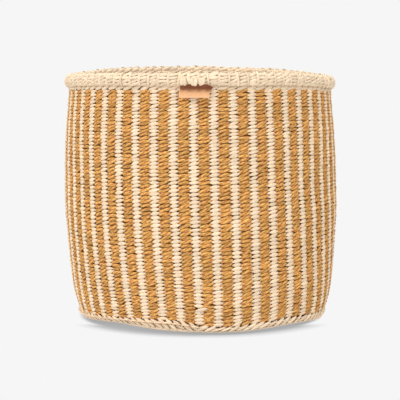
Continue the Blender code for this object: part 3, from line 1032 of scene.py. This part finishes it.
# A bar's line, as (height over the rim's lower edge, radius, share of its full width), in mm
BAR_LINE = (
    (1.7, 127.0, 0.6),
    (2.8, 128.0, 0.9),
    (5.0, 128.8, 1),
    (8.0, 129.0, 1),
    (10.8, 128.3, 1),
    (12.5, 126.8, 1),
    (13.1, 125.2, 1),
    (12.6, 123.7, 0.9),
    (11.0, 122.6, 0.6),
)


def rim_rows(outline, heights, facing, seed):
    """Rows of twining on one face of the rim."""
    levels, places = (grid.ravel() for grid in np.meshgrid(heights, np.arange(COLUMNS)))
    table = spots(len(levels))
    table["turn"] = TAB_TURN + COLUMN_TURN * places
    table["place"] = levels
    table["slant"] += bpy.context.scene.kiondo_rim.row_slant
    scatter(table, seed, slant=8, stretch=0.06, swell=0.10, sink=0.22 * MM)
    return stitches("rim_row", 6, RIM_STITCH, table, wrap(outline, facing), seed, crease_shade=0.7)


class KIONDO_OT_rim(bpy.types.Operator):
    """Make the rim: its core, rows of twining, the bars folded over it and the plait inside"""

    bl_idname = "kiondo.rim"
    bl_label = "Rim"

    def execute(self, context):
        sizes = context.scene.kiondo_rim
        heights = RIM_BOTTOM + FIRST_RIM_ROW + sizes.row_pitch * np.arange(4)
        rise, *half_sizes = RIM_CORE
        core = ring_tube("core", RIM_MIDDLE, RIM_BOTTOM + rise, *half_sizes, 12)
        outer = rim_rows(rim_outline, heights, 1, 101)
        inner = rim_rows(rim_lining_outline, heights[:3] - sizes.row_pitch * 0.6, -1, 111)
        band = joined("rim_rows", [core, outer, inner, self.collar(1), self.collar(-1)])
        finish_piece(band, "rim_sisal", ["rim_band"])
        top = joined("rim_bars", [self.bars(sizes.bar_width), self.plait(sizes.plait_slant)])
        finish_piece(top, "rim_sisal", ["rim_braid"])
        return {"FINISHED"}

    def collar(self, facing):
        """The last round of the wall, natural all the way, tucked under the rim."""
        lay = wrap(wall_outline if facing > 0 else lining_outline, facing)
        table = spots_round(COLUMNS, 0, RIM_BOTTOM + 0.6 * MM, math.radians(16), -0.4 * MM)
        scatter(table, 121, slant=5, stretch=0.04, swell=0.08, sink=0.15 * MM)
        return stitches("collar", 6, COLLAR_STITCH, table, lay, 122)

    def bars(self, width):
        """The warp ends, folded over the rim between the columns."""
        path = [(up * MM, RIM_RADIUS - distance * MM) for up, distance, _ in BAR_LINE]
        radii = [width / 2 * share for *_, share in BAR_LINE]
        table = spots_round(COLUMNS, 0.5, RIM_BOTTOM, math.pi / 2)
        scatter(table, 131, slant=4, stretch=0.03, swell=0.18, sink=0.25 * MM)
        lay = wrap(even(RIM_RADIUS))
        return copies(cord("bar", 8, path, radii), table, lay, 132, crease_shade=0.12)

    def plait(self, slant):
        """The plait that closes the rim inside, one slanting stitch for each warp."""
        table = spots_round(COLUMNS, 0, BASKET_TOP - 3.2 * MM, slant)
        scatter(table, 141, slant=3, stretch=0.04, swell=0.07, sink=0.2 * MM)
        lay = wrap(even(PLAIT_RADIUS), -1)
        return stitches("plait", 6, PLAIT_STITCH, table, lay, 142, crease_shade=0.35)


# Leather tab

# How far its ends reach up past the solid's top, and how far its fold lies over the solid's bottom
TAB_RISE = 1.2 * MM
FOLD_RISE = 0.7 * MM
# How far its loose part stands off the wall, and how far below the hinge that is reached
STAND_OFF = 1.0 * MM
SWING_REACH = 9 * MM
# Its top right corner: how far down it curls forward, and how far it is rounded off and from where
CURL_REACH = 6.2 * MM
ROUNDING = 2.6 * MM
ROUNDING_REACH = 3 * MM
# Radius of the curve that it lies on
TAB_CURVE = 135 * MM
# The strands over its top, from left to right, as (place across and height in mm, stretch, swell,
# slant in degrees, tone), and how far they stand out
TAB_STRANDS = (
    (-11.3, 230.7, 0.88, 1.20, 84, 0.5),
    (-8.9, 230.3, 0.86, 1.30, 101, 0.3),
    (-4.6, 231.3, 0.80, 1.15, 118, 0.6),
    (-1.8, 230.1, 0.90, 1.25, 99, 0.4),
    (0.9, 229.8, 0.92, 1.30, 80, 0.7),
    (5.3, 230.2, 0.88, 1.25, 96, 0.4),
    (7.7, 230.7, 0.86, 1.15, 85, 0.6),
)
TAB_STRANDS_OUT = 0.4 * MM


def facing_front(across, depth, level):
    """Points of the tab, given from its middle, its front and the floor."""
    front = -(HINGE_DISTANCE - depth)
    x = across * math.cos(TAB_TURN) - front * math.sin(TAB_TURN)
    y = across * math.sin(TAB_TURN) + front * math.cos(TAB_TURN)
    return np.stack([x, y, level], axis=-1)


class KIONDO_OT_tab(bpy.types.Operator):
    """Make the leather tab, folded double, and the strands that hold its top"""

    bl_idname = "kiondo.tab"
    bl_label = "Leather tab"

    def execute(self, context):
        self.strip(context.scene.kiondo_tab)
        self.bindings()
        return {"FINISHED"}

    def strip(self, sizes):
        """One strip of leather, bent round at the bottom, with its two ends under the rim."""
        top = TAB_TOP + TAB_RISE
        drop = top - TAB_BOTTOM - FOLD_RISE
        leaf = drop - sizes.fold_radius - sizes.leather / 2
        bend = math.pi * sizes.fold_radius
        total = 2 * leaf + bend
        bpy.ops.mesh.primitive_grid_add(x_subdivisions=24, y_subdivisions=56, size=1)
        made = open_for_editing("leather_tab")
        bpy.ops.transform.resize(value=(sizes.width, total, 1), center_override=(0, 0, 0))
        bpy.ops.object.mode_set(mode="OBJECT")
        flat = np.array([vertex.co[:] for vertex in made.data.vertices])
        across, cut = flat[:, 0], total / 2 - flat[:, 1]
        turned = np.clip((cut - leaf) / sizes.fold_radius, 0, math.pi)
        down = np.minimum(cut, leaf) + sizes.fold_radius * np.sin(turned)
        down = down - np.maximum(cut - leaf - bend, 0)
        depth = sizes.leather / 2 + sizes.fold_radius * (1 - np.cos(turned))
        level = top - down
        bulge = np.sin(0.72 * math.pi * np.clip((level - top + CURL_REACH) / CURL_REACH, 0, 1))
        lift = bulge * np.clip((across / sizes.width - 0.24) / 0.26, 0, 1) ** 1.2
        lift = lift * (cut < leaf)
        rounding = np.clip((across / sizes.width - 0.36) / 0.14, 0, 1) ** 2
        rounding = rounding * np.clip((level - top + ROUNDING_REACH) / ROUNDING_REACH, 0, 1)
        level = level - ROUNDING * rounding
        across = across + sizes.corner * lift
        depth = depth - 0.8 * sizes.corner * lift
        depth = depth + across**2 / (2 * TAB_CURVE) * 0.8
        depth = depth - STAND_OFF * np.clip((HINGE_PLACE.z - level) / SWING_REACH, 0, 1)
        placed = facing_front(across, depth, level)
        made.data.vertices.foreach_set("co", placed.astype(np.float32).ravel())
        attribute = made.data.attributes.new("cut", "FLOAT_VECTOR", "POINT")
        values = np.stack([flat[:, 0], cut, 0 * cut], axis=-1).astype(np.float32)
        attribute.data.foreach_set("vector", values.ravel())
        made.data.update()
        solid = made.modifiers.new("thickness", "SOLIDIFY")
        solid.thickness = sizes.leather
        solid.offset = 0
        rounded = made.modifiers.new("edges", "BEVEL")
        rounded.width = sizes.leather * 0.25
        rounded.segments = 2
        rounded.limit_method = "ANGLE"
        for name in ("thickness", "edges"):
            bpy.ops.object.modifier_apply(modifier=name)
        made.data.shade_smooth()
        finish_piece(made, "tan_leather", ["tab_seam", "tab_flap"], body=None)
        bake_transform(made)

    def bindings(self):
        """The strands of the rim that hang over the top of the tab."""
        table = spots(len(TAB_STRANDS))
        kinds = ("turn", "place", "stretch", "swell", "slant", "tone")
        units = (MM, MM, 1, 1, math.radians(1), 1)
        for kind, unit, values in zip(kinds, units, zip(*TAB_STRANDS)):
            table[kind] = unit * np.array(values)

        def lay(side, height, along, depth, up):
            return facing_front(side + along, depth - TAB_STRANDS_OUT, height + up)

        piece = joined("tab_bindings", [stitches("binding", 8, RIM_STITCH, table, lay, 151)])
        nodes = ["tab_binding_left", "tab_binding_middle", "tab_binding_right"]
        finish_piece(piece, "rim_sisal", nodes)


# Stage: floor, room light and camera

# The room's even light, then its lobes of stronger light as (direction, strength, sharpness)
EVEN_LIGHT = 0.22
LIGHT_LOBES = (
    ((0.0, 0.05, 1.0), 8.0, 50.0),
    ((-0.70, -0.72, 0.45), 1.72, 2.0),
    ((0.65, -0.75, 0.40), 0.98, 2.0),
    ((0.0, 0.85, 0.40), 0.70, 3.0),
)
# The floor glows evenly, and a shadow is painted on it where the basket is near, kept under the
# basket, in front of it and behind it: how dark it is, how far it reaches, the line across that it
# is measured from, how far from that line it starts and is whole, and how far from the centre the
# shade under the basket ends
SHADE_SHARE = 0.60
SHADE_REACH = 18 * MM
SHADE_LINE = 22 * MM
SHADE_STARTS = (74 * MM, 96 * MM)
SHADE_UNDER = (120 * MM, 112 * MM)
FLOOR_SIZE = 60
# Camera: its lens and sensor in mm, its place, and how far down it looks
LENS = 158.4
SENSOR_WIDTH = 36
CAMERA_PLACE = (-0.0005, -1.70, 0.282)
CAMERA_DIP = math.radians(5.72)


class KIONDO_OT_stage(bpy.types.Operator):
    """Make the pale floor, the soft studio light and the camera"""

    bl_idname = "kiondo.stage"
    bl_label = "Stage"

    def execute(self, context):
        room = tuple(context.scene.kiondo_finish.room)
        self.floor(room)
        self.light(context.scene, room)
        self.camera(context.scene)
        view = context.scene.view_settings
        view.view_transform = "Standard"
        view.look = "None"
        return {"FINISHED"}

    def floor(self, room):
        """A wide pale floor that meets the room's wall without a line, with a painted shadow by the
        basket.
        """
        bpy.ops.mesh.primitive_plane_add(size=FLOOR_SIZE)
        made = bpy.context.object
        made.name = "floor"
        material = bpy.data.materials.new("pale_floor")
        material.use_nodes = True
        material.node_tree.nodes.clear()
        wire = Wiring(material.node_tree)
        reach = {"Distance": SHADE_REACH}
        open_share = wire.node("ShaderNodeAmbientOcclusion", reach, samples=16).outputs["AO"]
        place = wire.node("ShaderNodeTexCoord").outputs["Object"]
        across = wire.node("ShaderNodeSeparateXYZ", {0: place}).outputs["Y"]
        off_line = wire.math("ABSOLUTE", wire.math("SUBTRACT", across, SHADE_LINE))
        kept = wire.ramp(off_line, *SHADE_STARTS)
        from_centre = wire.node("ShaderNodeVectorMath", {0: place}, operation="LENGTH")
        under = wire.ramp(from_centre.outputs["Value"], *SHADE_UNDER)
        kept = wire.math("MAXIMUM", kept, under)
        # Painted shadow: the floor's glow is dimmed where the basket is near, only where it is kept
        shade = wire.math("MULTIPLY", wire.math("SUBTRACT", 1.0, open_share), kept)
        strength = wire.math("MULTIPLY_ADD", shade, -SHADE_SHARE, 1.0)
        lit = wire.node("ShaderNodeEmission", {"Color": (*room, 1), "Strength": strength})
        out = wire.node("ShaderNodeOutputMaterial")
        wire.feed(out.inputs["Surface"], lit.outputs[0])
        made.data.materials.append(material)

    def light(self, scene, room):
        """Broad soft light from above and from both sides, in front of the basket."""
        world = bpy.data.worlds.new("studio")
        world.use_nodes = True
        scene.world = world
        world.node_tree.nodes.clear()
        wire = Wiring(world.node_tree)
        direction = wire.node("ShaderNodeTexCoord").outputs["Generated"]
        total = EVEN_LIGHT
        for towards, strength, sharpness in LIGHT_LOBES:
            aim = tuple(Vector(towards).normalized())
            dot = wire.node("ShaderNodeVectorMath", {0: direction, 1: aim}, operation="DOT_PRODUCT")
            facing = wire.math("MAXIMUM", dot.outputs["Value"], 0.0)
            lobe = wire.math("MULTIPLY", wire.math("POWER", facing, sharpness), strength)
            total = wire.math("ADD", lobe, total)
        lit = wire.node("ShaderNodeBackground", {"Color": (1.0, 1.0, 1.0, 1)})
        wire.feed(lit.inputs["Strength"], total)
        seen = wire.node("ShaderNodeBackground", {"Color": (*room, 1), "Strength": 1.0})
        chosen = wire.node("ShaderNodeMixShader")
        wire.feed(chosen.inputs[0], wire.node("ShaderNodeLightPath").outputs["Is Camera Ray"])
        wire.feed(chosen.inputs[1], lit.outputs[0])
        wire.feed(chosen.inputs[2], seen.outputs[0])
        out = wire.node("ShaderNodeOutputWorld")
        wire.feed(out.inputs["Surface"], chosen.outputs[0])

    def camera(self, scene):
        """A long lens a little above the rim, looking slightly down."""
        data = bpy.data.cameras.new("camera")
        data.lens = LENS
        data.sensor_width = SENSOR_WIDTH
        made = bpy.data.objects.new("camera", data)
        made.location = CAMERA_PLACE
        made.rotation_euler = (math.pi / 2 - CAMERA_DIP, 0, 0)
        scene.collection.objects.link(made)
        scene.camera = made


class KIONDO_PT_panel(bpy.types.Panel):
    """The basket's settings and the operators that make it"""

    bl_idname = "KIONDO_PT_panel"
    bl_label = "Kiondo basket"
    bl_space_type = "VIEW_3D"
    bl_region_type = "UI"
    bl_category = "Kiondo"

    def draw(self, context):
        for title, group in zip(("Wall", "Rim", "Tab", "Finish"), settings(context)):
            box = self.layout.box()
            box.label(text=title)
            for name in group.__annotations__:
                box.prop(group, name)
        for operator in OPERATORS:
            self.layout.operator(operator.bl_idname)


GROUPS = {
    "kiondo_wall": KiondoWall,
    "kiondo_rim": KiondoRim,
    "kiondo_tab": KiondoTab,
    "kiondo_finish": KiondoFinish,
}
OPERATORS = (
    KIONDO_OT_stage,
    KIONDO_OT_base,
    KIONDO_OT_uprights,
    KIONDO_OT_natural_weft,
    KIONDO_OT_dyed_weft,
    KIONDO_OT_foot,
    KIONDO_OT_rim,
    KIONDO_OT_tab,
)


def register():
    for name, group in GROUPS.items():
        bpy.utils.register_class(group)
        setattr(bpy.types.Scene, name, bpy.props.PointerProperty(type=group))
    for made in (*OPERATORS, KIONDO_PT_panel):
        bpy.utils.register_class(made)


def unregister():
    for made in reversed((*OPERATORS, KIONDO_PT_panel)):
        bpy.utils.unregister_class(made)
    for name, group in GROUPS.items():
        delattr(bpy.types.Scene, name)
        bpy.utils.unregister_class(group)


def main():
    """Makes every piece."""
    register()
    bpy.ops.kiondo.stage()
    bpy.ops.kiondo.base()
    bpy.ops.kiondo.uprights()
    bpy.ops.kiondo.natural_weft()
    bpy.ops.kiondo.dyed_weft()
    bpy.ops.kiondo.foot()
    bpy.ops.kiondo.rim()
    bpy.ops.kiondo.tab()


if __name__ == "__main__":
    main()
